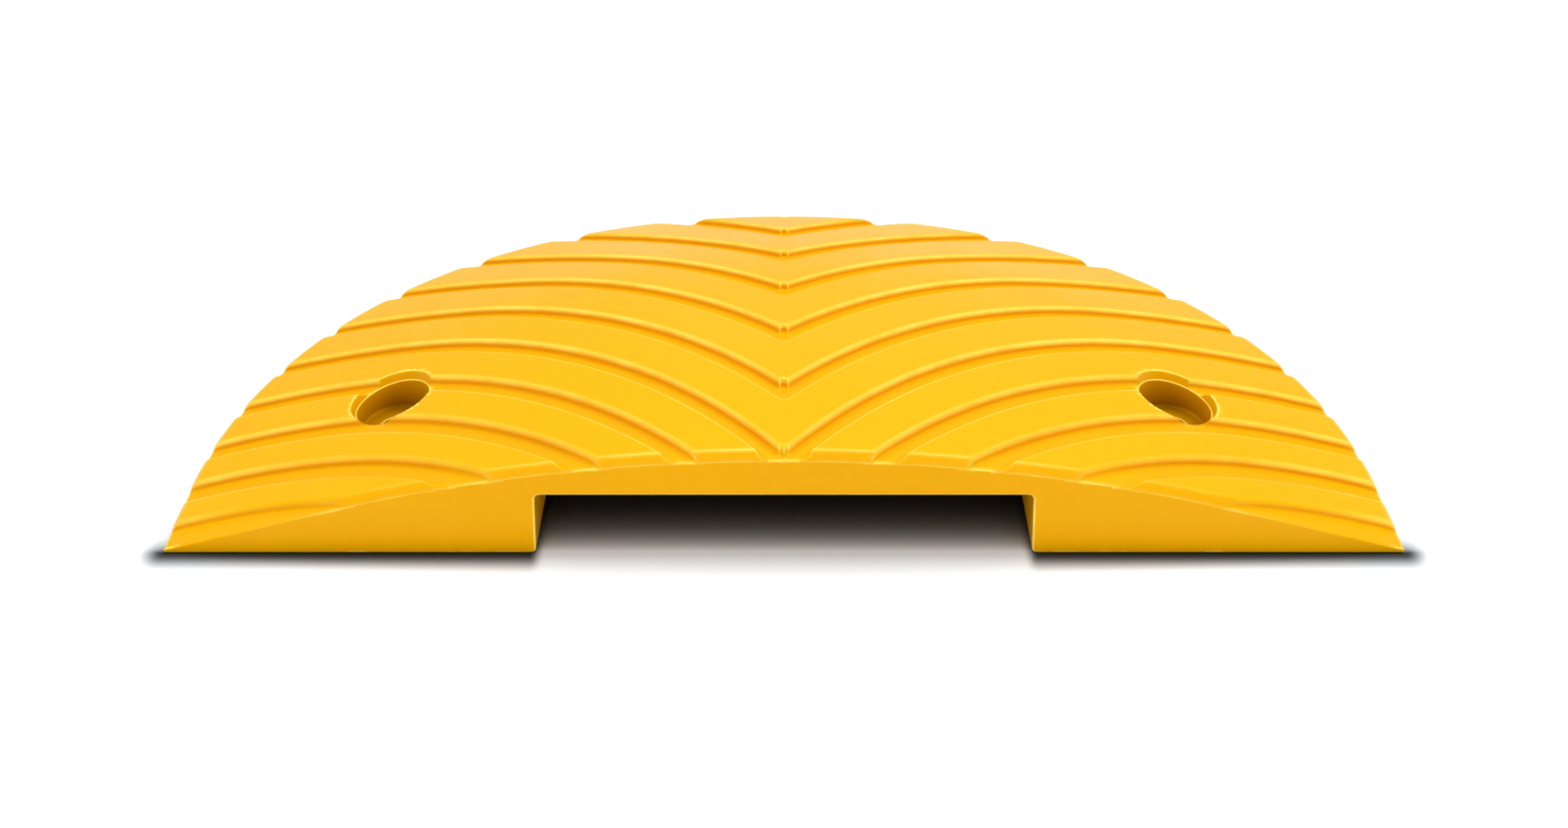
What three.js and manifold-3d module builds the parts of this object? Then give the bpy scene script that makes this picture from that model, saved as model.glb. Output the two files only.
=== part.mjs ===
// End cap of a modular rubber speed bump: a half dome with a flat face that meets the next module.
//
// Millimetres, +Z up, standing on Z = 0 with the origin under the middle of its plan. X runs along the
// mating face and +Y points away from it, towards the round rim. The cap is one moulding with raised
// tread ribs. A steel load washer is moulded in under the seat of each of its two bolt holes.
import * as THREE from "three";
import { mergeVertices } from "three/addons/utils/BufferGeometryUtils.js";
import Module from "manifold-3d";

const wasm = await Module();
wasm.setup();

// Plan: short straight sides, then half of a superellipse.
const CAP_WIDTH = 500; // along the mating face
const CAP_DEPTH = 250; // from the mating face to the rim
const SIDE_LENGTH = 30; // straight part of each side
const PLAN_EXPONENT = 2.1; // 2 is a true half ellipse

// Section of the dome at the bottom of the tread grooves.
const CROWN_HEIGHT = 49;
const FLANK_ANGLE = THREE.MathUtils.degToRad(17); // straight fall to the rim
const RIM_LIP = 1.5; // upright edge of the rim

// Tread: chevron ribs. The near edge of each rib follows a circle beside each half of the cap. Rib 0 has
// its tip at the mating face, and ribs count up towards the rim. From one rib to the next the circle's
// centre moves towards the rim and its radius grows.
const ARC_CENTRE_X = 243; // sideways from the middle plane
const ARC_CENTRE_DROP = 194; // of rib 0, in front of the mating face
const ARC_CENTRE_ADVANCE = 11; // per rib
const ARC_RADIUS = 312; // of rib 0
const ARC_RADIUS_STEP = 19.5; // per rib
const ARC_RADIUS_GROWTH = 0.92; // per rib squared
const RIB_HEIGHT = 3.75;
const GROOVE_WIDTH = 9; // between the top edges of two ribs, at rib 0
const GROOVE_WIDTH_GROWTH = 0.2; // per rib squared
const NEAR_WALL_RUN = 0.5; // steep wall that faces the mating face
const FAR_WALL_RUN = 3; // sloping wall that faces the rim
const TIP_FLAT_WIDTH = 3.6; // blunt nose of each chevron
const RIB_END_SETBACK = 0.6; // between the rim and the rounded end of a rib
const FACE_CHAMFER = 2.2; // length of the sloped rib end at the mating face

// Hollow in the mating face that takes the cables or the drain of the neighbouring module.
const CHANNEL_WIDTH = 200;
const CHANNEL_HEIGHT = 31;
const CHANNEL_DEPTH = 80;
const CHANNEL_DRAFT = THREE.MathUtils.degToRad(4.5); // lean of its side walls
const CHANNEL_CORNER = 2.5;

// Bolt holes and the washers moulded in around them.
const BOLT_INSET = 83; // from the side end of the cap
const BOLT_FROM_FACE = 66;
const COUNTERBORE_DIAMETER = 32;
const RIB_CUTBACK = 2; // run of the slope by which a rib falls to the edge of a counterbore
const BOLT_HOLE_DIAMETER = 17;
const BOLT_SEAT_HEIGHT = 10.4;
const WASHER_DIAMETER = 38;
const WASHER_THICKNESS = 3;
const WASHER_COVER = 2.8; // rubber between the seat and the washer
const WASHER_BORE_CLEARANCE = 1; // washer bore over the bolt hole
const MOULDED_GAP = 0.3; // between the washer and the rubber around it

// Fineness of the facets.
const STATIONS_ALONG_RIB = 15;
const ROUND_END_STEPS = 3;
const BORE_SEGMENTS = 40;
const CUT_MARGIN = 5; // how far a solid runs past the surface that cuts it
const SNAP = 1e-6; // points nearer than this to the middle plane or the mating face lie on it
const OUTSIDE_ANGLE = -Math.PI / 3; // every tread arc is past the rim by this angle
const TREAD_ANGLE = Math.PI / 6; // typical angle on an arc, where the pitch is measured
const MOST_RIBS = 10; // to each side of rib 0
const HALVINGS = 50; // steps of each search by halving

const HALF_WIDTH = CAP_WIDTH / 2;
const FLANK_SLOPE = Math.tan(FLANK_ANGLE);
// The crown is the one arc that is level in the middle and runs smoothly into the flank.
const CROWN_RADIUS =
  (HALF_WIDTH * FLANK_SLOPE + RIM_LIP - CROWN_HEIGHT) / (1 / Math.cos(FLANK_ANGLE) - 1);
const FLANK_START = CROWN_RADIUS * Math.sin(FLANK_ANGLE);

const RUBBER = new THREE.MeshStandardMaterial({ color: 0xf5b800, roughness: 0.42, metalness: 0 });
const STEEL = new THREE.MeshStandardMaterial({ color: 0x9a9c9e, roughness: 0.4, metalness: 1 });

// Distance from the middle line of the crown: 0 there and 1 all along the rim.
function planRadius(x, y) {
  const across = (Math.abs(x) / HALF_WIDTH) ** PLAN_EXPONENT;
  const beyondSides = Math.max(0, y - SIDE_LENGTH) / (CAP_DEPTH - SIDE_LENGTH);
  return (across + beyondSides ** PLAN_EXPONENT) ** (1 / PLAN_EXPONENT);
}

// Height of the groove floors.
function domeHeight(x, y) {
  const run = planRadius(x, y) * HALF_WIDTH;
  if (run < FLANK_START) {
    return CROWN_HEIGHT - CROWN_RADIUS + Math.sqrt(CROWN_RADIUS ** 2 - run ** 2);
  }
  return RIM_LIP + (HALF_WIDTH - run) * FLANK_SLOPE;
}

// Circle of the tread at a rib number, which may be a fraction: its centre beside the left half and
// its radius.
function treadArc(rib) {
  return {
    x: -ARC_CENTRE_X,
    y: ARC_CENTRE_ADVANCE * rib - ARC_CENTRE_DROP,
    radius: ARC_RADIUS + ARC_RADIUS_STEP * rib + ARC_RADIUS_GROWTH * rib ** 2,
  };
}

// Rib number, as a fraction, of the tread circle through a point.
function ribNumberAt(x, y) {
  let low = -MOST_RIBS;
  let high = MOST_RIBS;
  for (let step = 0; step < HALVINGS; step += 1) {
    const middle = (low + high) / 2;
    const arc = treadArc(middle);
    if (Math.hypot(x - arc.x, y - arc.y) > arc.radius) {
      low = middle;
    } else {
      high = middle;
    }
  }
  return high;
}

// The four bends of the groove in front of a rib, as rib numbers: where the nearer rib starts to
// fall, where the floor starts, where it ends and where the rib itself is at full height.
function grooveBends(rib) {
  const pitch =
    ARC_RADIUS_STEP + 2 * ARC_RADIUS_GROWTH * rib + ARC_CENTRE_ADVANCE * Math.cos(TREAD_ANGLE);
  const width = GROOVE_WIDTH + GROOVE_WIDTH_GROWTH * rib ** 2;
  const fall = rib - width / pitch;
  return [fall, fall + FAR_WALL_RUN / pitch, rib - NEAR_WALL_RUN / pitch, rib];
}

// Share of the full rib height at a rib number: 0 on a groove floor and 1 on a rib.
function ribShare(number, grooves) {
  const bends = grooves.find(([fall, , , rise]) => number > fall && number < rise);
  if (!bends) {
    return 1;
  }
  const [fall, floorStart, floorEnd, rise] = bends;
  const falling = (floorStart - number) / (floorStart - fall);
  const rising = (number - floorEnd) / (rise - floorEnd);
  return Math.max(0, falling, rising);
}

// Share of the rib height that is left near the rim, where ribs end in a quarter round, and near the
// mating face, where they end in a slope.
function endShare(x, y) {
  const inside = (1 - planRadius(x, y)) * HALF_WIDTH - RIB_END_SETBACK;
  const drop = THREE.MathUtils.clamp(1 - inside / RIB_HEIGHT, 0, 1);
  const roundShare = Math.sqrt(1 - drop ** 2);
  const slopeShare = THREE.MathUtils.clamp(y / FACE_CHAMFER, 0, 1);
  return Math.min(roundShare, slopeShare);
}

// Point of the left half on a tread circle, at an angle that is 0 straight towards the rim.
function arcPoint(arc, angle) {
  return new THREE.Vector2(arc.radius * Math.sin(angle) + arc.x, arc.radius * Math.cos(angle) + arc.y);
}

// Angle on an arc at a distance inside the rim, found by halving between a point outside and one inside.
function angleInsideRim(arc, distance, lastAngle) {
  let outside = OUTSIDE_ANGLE;
  let inside = lastAngle;
  const level = 1 - distance / HALF_WIDTH;
  for (let step = 0; step < HALVINGS; step += 1) {
    const middle = (outside + inside) / 2;
    const point = arcPoint(arc, middle);
    if (point.y < 0 || planRadius(point.x, point.y) > level) {
      outside = middle;
    } else {
      inside = middle;
    }
  }
  return inside;
}

// Angles of the mesh stations on one arc, from the rim to the mating face or the middle plane.
function arcStations(arc) {
  const angleAtY = (y) => Math.acos(Math.min(1, (y - arc.y) / arc.radius));
  const angleAtX = (x) => Math.asin(Math.min(1, (x - arc.x) / arc.radius));
  const endsAtFace = angleAtY(0) < angleAtX(0);
  const last = endsAtFace ? angleAtY(0) : angleAtX(0);
  const beforeLast = endsAtFace ? angleAtY(FACE_CHAMFER) : angleAtX(-TIP_FLAT_WIDTH / 2);
  const stations = [angleInsideRim(arc, 0, last)];
  for (let step = 0; step <= ROUND_END_STEPS; step += 1) {
    const turn = (step / ROUND_END_STEPS) * (Math.PI / 2);
    const distance = RIB_END_SETBACK + RIB_HEIGHT * (1 - Math.cos(turn));
    stations.push(angleInsideRim(arc, distance, last));
  }
  const first = stations[stations.length - 1];
  const stop = THREE.MathUtils.clamp(beforeLast, first, last);
  for (let step = 1; step <= STATIONS_ALONG_RIB; step += 1) {
    stations.push(first + ((stop - first) * step) / STATIONS_ALONG_RIB);
  }
  stations.push(last);
  return stations;
}

// Grooves of the tread, and the rib numbers of the mesh rows: every bend, the middle of every rib, and
// the arcs through the corners of the plan.
function treadRows() {
  const nearest = ribNumberAt(-Math.min(ARC_CENTRE_X, HALF_WIDTH), 0);
  const farthest = ribNumberAt(0, CAP_DEPTH);
  const numbers = new Set([nearest, ribNumberAt(-HALF_WIDTH, 0), ribNumberAt(0, 0), farthest]);
  const grooves = [];
  for (let rib = Math.ceil(nearest); rib < farthest; rib += 1) {
    grooves.push(grooveBends(rib));
  }
  grooves.forEach((bends, index) => {
    bends.forEach((number) => numbers.add(number));
    const ribEnd = index + 1 < grooves.length ? grooves[index + 1][0] : farthest;
    numbers.add((bends[3] + ribEnd) / 2);
  });
  const rows = [...numbers].filter((number) => number >= nearest && number <= farthest);
  rows.sort((a, b) => a - b);
  return { rows, grooves };
}

// Half of the cap as a box bent to the tread arcs: its length follows an arc, its width crosses the
// ribs and its top is the tread. Its underside runs below the ground, where it is cut off later.
function halfCap(side) {
  const { rows, grooves } = treadRows();
  const arcs = rows.map(treadArc);
  const stations = arcs.map(arcStations);
  const columns = stations[0].length - 1;
  const geometry = new THREE.BoxGeometry(1, 1, 1, columns, rows.length - 1, 1);
  const position = geometry.attributes.position;
  for (let i = 0; i < position.count; i += 1) {
    const along = Math.round((position.getX(i) + 0.5) * columns);
    const row = Math.round((position.getY(i) + 0.5) * (rows.length - 1));
    const column = side < 0 ? along : columns - along;
    const point = arcPoint(arcs[row], stations[row][column]);
    const onNearWall = grooves.some((bends) => rows[row] === bends[2] || rows[row] === bends[3]);
    if (onNearWall && column === columns && point.x > -SNAP) {
      point.y = arcPoint(arcs[row], stations[row][column - 1]).y;
    }
    const fromMiddle = point.x > -SNAP ? 0 : -point.x;
    const fromFace = point.y < SNAP ? 0 : point.y;
    const rib = RIB_HEIGHT * ribShare(rows[row], grooves) * endShare(fromMiddle, fromFace);
    const top = domeHeight(fromMiddle, fromFace) + rib;
    position.setXYZ(i, side * fromMiddle, fromFace, position.getZ(i) > 0 ? top : -CUT_MARGIN);
  }
  return geometry;
}

// A solid from a closed geometry: vertices merged, and facets that shrank to a line dropped.
function solidFrom(geometry) {
  const bare = geometry.clone();
  bare.deleteAttribute("normal");
  bare.deleteAttribute("uv");
  const merged = mergeVertices(bare, 1e-4);
  const corners = [...merged.index.array];
  const triVerts = [];
  for (let i = 0; i < corners.length; i += 3) {
    const [a, b, c] = corners.slice(i, i + 3);
    if (a !== b && b !== c && c !== a) {
      triVerts.push(a, b, c);
    }
  }
  const vertProperties = new Float32Array(merged.attributes.position.array);
  const mesh = new wasm.Mesh({ numProp: 3, vertProperties, triVerts: new Uint32Array(triVerts) });
  return new wasm.Manifold(mesh);
}

// A three.js geometry from a finished solid.
function geometryFrom(solid) {
  const mesh = solid.getMesh();
  const geometry = new THREE.BufferGeometry();
  geometry.setAttribute("position", new THREE.BufferAttribute(new Float32Array(mesh.vertProperties), 3));
  geometry.setIndex(new THREE.BufferAttribute(new Uint32Array(mesh.triVerts), 1));
  geometry.computeVertexNormals();
  return geometry;
}

// The channel: a drafted section with rounded upper corners, pushed in from the mating face.
function channelCutter() {
  const foot = CHANNEL_WIDTH / 2;
  const lean = Math.tan(CHANNEL_DRAFT);
  const top = foot - CHANNEL_HEIGHT * lean;
  const section = new THREE.Shape();
  section.moveTo(-foot - CUT_MARGIN * lean, -CUT_MARGIN);
  section.lineTo(foot + CUT_MARGIN * lean, -CUT_MARGIN);
  section.lineTo(top + CHANNEL_CORNER * lean, CHANNEL_HEIGHT - CHANNEL_CORNER);
  section.quadraticCurveTo(top, CHANNEL_HEIGHT, top - CHANNEL_CORNER, CHANNEL_HEIGHT);
  section.lineTo(CHANNEL_CORNER - top, CHANNEL_HEIGHT);
  const cornerFoot = top + CHANNEL_CORNER * lean;
  section.quadraticCurveTo(-top, CHANNEL_HEIGHT, -cornerFoot, CHANNEL_HEIGHT - CHANNEL_CORNER);
  section.closePath();
  const depth = CHANNEL_DEPTH + CUT_MARGIN;
  const geometry = new THREE.ExtrudeGeometry(section, { depth, bevelEnabled: false, curveSegments: 3 });
  geometry.rotateX(Math.PI / 2);
  geometry.translate(0, CHANNEL_DEPTH, 0);
  return geometry;
}

// An upright cylinder between two heights at a bolt position.
function uprightCylinder(diameter, bottom, top, side) {
  const radius = diameter / 2;
  const geometry = new THREE.CylinderGeometry(radius, radius, top - bottom, BORE_SEGMENTS);
  geometry.rotateX(Math.PI / 2);
  geometry.translate(side * (HALF_WIDTH - BOLT_INSET), BOLT_FROM_FACE, (bottom + top) / 2);
  return geometry;
}

// The ribs are cut back in a slope around each counterbore, so that its edge lies in the groove floor
// all the way round. The section is a lathe profile whose heights count from the dome.
function ribCutbackCutter(side) {
  const edge = COUNTERBORE_DIAMETER / 2;
  const section = [
    new THREE.Vector2(0, -CUT_MARGIN),
    new THREE.Vector2(edge, -CUT_MARGIN),
    new THREE.Vector2(edge, 0),
    new THREE.Vector2(edge + RIB_CUTBACK, RIB_HEIGHT),
    new THREE.Vector2(edge + RIB_CUTBACK, RIB_HEIGHT + CUT_MARGIN),
    new THREE.Vector2(0, RIB_HEIGHT + CUT_MARGIN),
  ];
  const geometry = new THREE.LatheGeometry(section, BORE_SEGMENTS);
  geometry.rotateX(Math.PI / 2);
  geometry.translate(side * (HALF_WIDTH - BOLT_INSET), BOLT_FROM_FACE, 0);
  const position = geometry.attributes.position;
  for (let i = 0; i < position.count; i += 1) {
    position.setZ(i, position.getZ(i) + domeHeight(position.getX(i), position.getY(i)));
  }
  return geometry;
}

const WASHER_TOP = BOLT_SEAT_HEIGHT - WASHER_COVER;
const WASHER_BOTTOM = WASHER_TOP - WASHER_THICKNESS;

// Counterbore with its slope, bolt hole and washer pocket, which opens into the bolt hole.
function boltCutters(side) {
  const above = CROWN_HEIGHT + RIB_HEIGHT + CUT_MARGIN;
  const pocket = WASHER_DIAMETER + 2 * MOULDED_GAP;
  return [
    uprightCylinder(COUNTERBORE_DIAMETER, BOLT_SEAT_HEIGHT, above, side),
    ribCutbackCutter(side),
    uprightCylinder(BOLT_HOLE_DIAMETER, -CUT_MARGIN, BOLT_SEAT_HEIGHT + CUT_MARGIN, side),
    uprightCylinder(pocket, WASHER_BOTTOM - MOULDED_GAP, WASHER_TOP + MOULDED_GAP, side),
  ];
}

// Everything above the ground.
function aboveGround() {
  const height = CROWN_HEIGHT + RIB_HEIGHT + CUT_MARGIN;
  const margins = 2 * CUT_MARGIN;
  const geometry = new THREE.BoxGeometry(CAP_WIDTH + margins, CAP_DEPTH + margins, height);
  geometry.translate(0, CAP_DEPTH / 2, height / 2);
  return geometry;
}

// The moulded cap itself.
function capBody() {
  const halves = [-1, 1].map((side) => solidFrom(halfCap(side)));
  let body = halves[0].add(halves[1]).intersect(solidFrom(aboveGround()));
  const cutters = [channelCutter(), ...boltCutters(-1), ...boltCutters(1)];
  for (const cutter of cutters) {
    body = body.subtract(solidFrom(cutter));
  }
  const mesh = new THREE.Mesh(geometryFrom(body), RUBBER);
  mesh.name = "cap_body";
  return mesh;
}

// Steel washer that spreads the load of a road bolt into the rubber.
function loadWasher(side, name) {
  const inner = (BOLT_HOLE_DIAMETER + WASHER_BORE_CLEARANCE) / 2;
  const outer = WASHER_DIAMETER / 2;
  const section = [
    new THREE.Vector2(inner, 0),
    new THREE.Vector2(outer, 0),
    new THREE.Vector2(outer, WASHER_THICKNESS),
    new THREE.Vector2(inner, WASHER_THICKNESS),
    new THREE.Vector2(inner, 0),
  ];
  const geometry = new THREE.LatheGeometry(section, BORE_SEGMENTS);
  geometry.rotateX(Math.PI / 2);
  const mesh = new THREE.Mesh(geometry, STEEL);
  mesh.name = name;
  mesh.position.set(side * (HALF_WIDTH - BOLT_INSET), BOLT_FROM_FACE, WASHER_BOTTOM);
  return mesh;
}

const cap = new THREE.Group();
cap.add(capBody());
cap.add(loadWasher(-1, "load_washer_left"));
cap.add(loadWasher(1, "load_washer_right"));
cap.position.y = -CAP_DEPTH / 2;

const model = new THREE.Group();
model.add(cap);

export default model;
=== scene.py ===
# %% [markdown]
# # End cap of a rubber speed bump
# The cap is one yellow rubber moulding: a half dome with chevron ribs, a flat face that meets the
# next module, a channel under it and two bolt holes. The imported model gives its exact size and
# places. Here its shape is made again with fine, rounded edges, because a moulding has no knife
# edges, and every rounded edge catches a thin line of light.

# %% Load the fixed frame
import bpy
import bmesh
import numpy as np
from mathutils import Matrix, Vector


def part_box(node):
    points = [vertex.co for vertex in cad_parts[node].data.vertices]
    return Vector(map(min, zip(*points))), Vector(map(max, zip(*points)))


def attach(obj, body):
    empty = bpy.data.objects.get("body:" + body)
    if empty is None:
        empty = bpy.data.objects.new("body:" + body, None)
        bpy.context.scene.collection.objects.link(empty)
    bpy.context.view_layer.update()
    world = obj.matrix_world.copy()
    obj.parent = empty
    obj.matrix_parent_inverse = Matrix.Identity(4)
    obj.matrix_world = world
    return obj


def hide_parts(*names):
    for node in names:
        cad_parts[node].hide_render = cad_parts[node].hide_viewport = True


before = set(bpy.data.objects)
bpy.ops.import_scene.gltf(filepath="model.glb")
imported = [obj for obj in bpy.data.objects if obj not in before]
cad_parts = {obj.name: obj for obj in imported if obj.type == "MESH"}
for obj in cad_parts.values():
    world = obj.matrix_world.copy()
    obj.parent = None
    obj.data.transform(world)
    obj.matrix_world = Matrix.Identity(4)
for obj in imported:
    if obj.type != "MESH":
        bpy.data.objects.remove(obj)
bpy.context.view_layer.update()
low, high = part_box("cap_body")
MM = 0.001
HALF_WIDTH = (high.x - low.x) / 2 / MM
CAP_DEPTH = (high.y - low.y) / MM
TOP_HEIGHT = high.z / MM
print(f"cap {2 * HALF_WIDTH:.0f} x {CAP_DEPTH:.0f} x {TOP_HEIGHT:.2f} mm")

# %% [markdown]
# ## The camera
# It looks down at the flat face from the front, on the middle plane, with a slightly wide lens. It
# comes first because every choice of detail below depends on how close it looks.

# %% Camera
camera_data = bpy.data.cameras.new("camera")
camera_data.lens = 34.52
camera_data.sensor_width = 36.0
camera_data.clip_end = 20.0
camera = bpy.data.objects.new("camera", camera_data)
camera.location = (0.0, -0.561, 0.425)
camera.rotation_euler = (np.radians(51.0), 0.0, 0.0)
bpy.context.scene.collection.objects.link(camera)
bpy.context.scene.camera = camera
print("camera at", tuple(round(v, 3) for v in camera.location))

# %% [markdown]
# ## The shape in plan and the dome
# The plan is a short straight side and then half of a superellipse, which is an ellipse with fuller
# shoulders. The dome is one section, a circular crown that runs into a straight flank, carried all
# round this plan. Both are formulas, so they are worked out for whole arrays of points at once.
# All of the shape is in millimetres from the middle of the flat face, and the last step moves it.

# %% Plan and dome
SIDE_LENGTH = 30.0
PLAN_EXPONENT = 2.1
CROWN_HEIGHT = 49.0
RIM_LIP = 1.5
FLANK_SLOPE = np.tan(np.radians(17.0))
CROWN_RADIUS = (HALF_WIDTH * FLANK_SLOPE + RIM_LIP - CROWN_HEIGHT) / (np.hypot(1, FLANK_SLOPE) - 1)
FLANK_START = CROWN_RADIUS * np.sin(np.arctan(FLANK_SLOPE))


def plan_radius(x, y):
    """0 on the middle line and 1 on the rim: the n-th root of (x / half width) to the n plus
    (y beyond the straight side / the rest of the depth) to the n."""
    across = (np.abs(x) / HALF_WIDTH) ** PLAN_EXPONENT
    beyond = np.maximum(0.0, y - SIDE_LENGTH) / (CAP_DEPTH - SIDE_LENGTH)
    return (across + beyond ** PLAN_EXPONENT) ** (1 / PLAN_EXPONENT)


def dome_height(x, y):
    """Height of the groove floors: a circle of the crown radius near the middle, and a straight
    slope from where that circle has the slope of the flank."""
    run = plan_radius(x, y) * HALF_WIDTH
    crown = CROWN_HEIGHT - CROWN_RADIUS + np.sqrt(np.maximum(CROWN_RADIUS**2 - run**2, 0.0))
    flank = RIM_LIP + (HALF_WIDTH - run) * FLANK_SLOPE
    return np.where(run < FLANK_START, crown, flank)


print(f"crown radius {CROWN_RADIUS:.0f} mm, flank from {FLANK_START:.0f} mm")

# %% [markdown]
# ## The tread
# Each rib follows a circle whose centre lies beside the other half of the cap, so the two halves
# meet in a chevron. A rib number counts them, and a fraction of it is a place between two ribs. The
# grooves between ribs have one cross section: a sloping wall towards the rim and a steep wall
# towards the flat face. A section made of straight lines looks cut from card, so each of its bends
# is an arc. A bevel modifier could round them too, but it fails where thin faces meet, and arcs in
# the section give clean rows from the start.

# %% Circles of the tread
ARC_CENTRE_X = 243.0
ARC_CENTRE_DROP = 194.0
ARC_CENTRE_ADVANCE = 11.0
ARC_RADIUS = 312.0
ARC_RADIUS_STEP = 19.5
ARC_RADIUS_GROWTH = 0.92
TREAD_ANGLE = np.pi / 6
MOST_RIBS = 10.0
HALVINGS = 44


def tread_arc(number):
    """Centre height and radius of the circle at a rib number: the centre moves evenly towards the
    rim, and the radius grows with the number and its square."""
    centre_y = ARC_CENTRE_ADVANCE * number - ARC_CENTRE_DROP
    return centre_y, ARC_RADIUS + ARC_RADIUS_STEP * number + ARC_RADIUS_GROWTH * number**2


def rib_number(x, y):
    """Rib number at any point, by halving the range until the circle goes through the point."""
    lower = np.full(np.shape(x), -MOST_RIBS)
    upper = np.full(np.shape(x), MOST_RIBS)
    for _ in range(HALVINGS):
        middle = (lower + upper) / 2
        centre_y, radius = tread_arc(middle)
        beyond = np.hypot(-np.abs(x) + ARC_CENTRE_X, y - centre_y) > radius
        lower, upper = np.where(beyond, middle, lower), np.where(beyond, upper, middle)
    return upper


def pitch(rib):
    """Millimetres from one rib to the next, square to the ribs."""
    return ARC_RADIUS_STEP + 2 * ARC_RADIUS_GROWTH * rib + ARC_CENTRE_ADVANCE * np.cos(TREAD_ANGLE)


# %% Cross section of one groove
RIB_HEIGHT = 3.75
GROOVE_WIDTH = 9.0
GROOVE_WIDTH_GROWTH = 0.2
FAR_WALL_RUN = 3.0
NEAR_WALL_RUN = 0.5
GROOVE_BENDS = (0.9, 1.6, 1.4, 1.9)  # radii from the far edge to the edge above the steep wall
BEND_STEPS = 6
EDGE_MARGIN = 2.0  # flat top that belongs to the section beyond the far wall
NEAR_MARGIN = 2.2  # and beyond the steep wall, where the bend is larger


def round_bends(points, radii, steps):
    """A polyline whose inner corners are arcs. Each arc starts at radius x tan(half the turn) before
    its corner, and its points are the corner's two tangents turned about the centre of the arc."""
    points = np.asarray(points, float)
    pieces = [points[:1]]
    for before, corner, after, radius in zip(points, points[1:], points[2:], radii):
        inward = (corner - before) / np.linalg.norm(corner - before)
        outward = (after - corner) / np.linalg.norm(after - corner)
        turn = np.arctan2(inward[0] * outward[1] - inward[1] * outward[0], inward @ outward)
        start = corner - inward * radius * np.tan(abs(turn) / 2)
        side = np.array([-inward[1], inward[0]]) * np.sign(turn)
        angle = np.linspace(0.0, abs(turn), steps + 1)[:, None]
        pieces.append(start + radius * (np.sin(angle) * inward + (1 - np.cos(angle)) * side))
    pieces.append(points[-1:])
    return np.vstack(pieces)


def groove_section(rib):
    """Distance from the steep wall and share of the rib height along the section of the groove in
    front of a rib. Its width is the width at rib 0 plus the growth times the rib number squared."""
    width = GROOVE_WIDTH + GROOVE_WIDTH_GROWTH * rib**2
    corners = [(-width - EDGE_MARGIN, RIB_HEIGHT), (-width, RIB_HEIGHT), (FAR_WALL_RUN - width, 0.0)]
    corners += [(-NEAR_WALL_RUN, 0.0), (0.0, RIB_HEIGHT), (NEAR_MARGIN, RIB_HEIGHT)]
    section = round_bends(corners, GROOVE_BENDS, BEND_STEPS)
    return section[:, 0], section[:, 1] / RIB_HEIGHT


print(f"groove section of {len(groove_section(0.0)[0])} points")

# %% [markdown]
# ## Rows and stations
# The tread is a grid: its rows follow the circles and its columns follow the length of each circle.
# Rows lie close together on every bend of every groove and far apart on flat tops. Stations
# lie close together where a rib rounds off at the rim, where it slopes down at the flat face and
# around the chevron tips.

# %% Rows across the ribs
TOP_ROWS = 7
FLOOR_ROWS = 3
nearest = float(rib_number(np.array(-min(ARC_CENTRE_X, HALF_WIDTH)), np.array(0.0)))
farthest = float(rib_number(np.array(0.0), np.array(CAP_DEPTH)))
ribs = np.arange(np.ceil(nearest), farthest)
sections = [groove_section(rib) for rib in ribs]
groove_rows = np.array([rib + section[0] / pitch(rib) for rib, section in zip(ribs, sections)])
top_start, top_end = groove_rows[:-1, -1], groove_rows[1:, 0]
top_rows = np.linspace(top_start, top_end, TOP_ROWS)[1:-1].T
floor_end = groove_rows.shape[1] // 2
floor_edges = groove_rows[:, floor_end - 1], groove_rows[:, floor_end]
floor_rows = np.linspace(*floor_edges, FLOOR_ROWS)[1:-1].T
last_rows = np.linspace(groove_rows[-1, -1], farthest, TOP_ROWS)[1:]
corner = float(rib_number(np.array(-HALF_WIDTH), np.array(0.0)))
face_middle = float(rib_number(np.array(0.0), np.array(0.0)))
first_rows = np.linspace(min(nearest, groove_rows[0, 0]), groove_rows[0, 0], TOP_ROWS)[:-1]
parts = [groove_rows.ravel(), top_rows.ravel(), floor_rows.ravel(), last_rows, first_rows]
parts.append([nearest, corner, face_middle, farthest])
row_numbers = np.unique(np.concatenate(parts).round(9))
row_numbers = row_numbers[(row_numbers >= nearest) & (row_numbers <= farthest)]
all_shares = np.array([section[1] for section in sections])
row_share = np.interp(row_numbers, groove_rows.ravel(), all_shares.ravel())
print(f"{len(ribs)} grooves, {len(row_numbers)} rows")

# %% Stations along the ribs
RIM_ROUND = 0.7
RIB_END_SETBACK = 0.6
FACE_CHAMFER = 2.2
FACE_ROUND = 0.8
STATIONS_ALONG = 64
quarter = np.linspace(0.0, np.pi / 2, 7)
at_rim = RIM_ROUND * (1 - np.cos(quarter[:5]))
at_rib_end = RIB_END_SETBACK + RIB_HEIGHT * (1 - np.cos(quarter))
rim_distances = np.unique(np.concatenate([at_rim, at_rib_end]).round(6))
face_distances = np.array([5.0, 3.6, 2.9, 2.5, 2.2, 1.9, 1.5, 0.9, 0.55, 0.3, 0.12, 0.03, 0.0])
middle_distances = np.array([9.0, 6.5, 4.8, 3.6, 2.7, 2.2, 1.95, 1.75, 1.5, 1.2, 0.8, 0.4, 0.0])


def arc_point(number, angle):
    """Point of the left half on a tread circle, at an angle that is 0 straight towards the rim."""
    centre_y, radius = tread_arc(number)
    return radius * np.sin(angle) - ARC_CENTRE_X, radius * np.cos(angle) + centre_y


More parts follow.
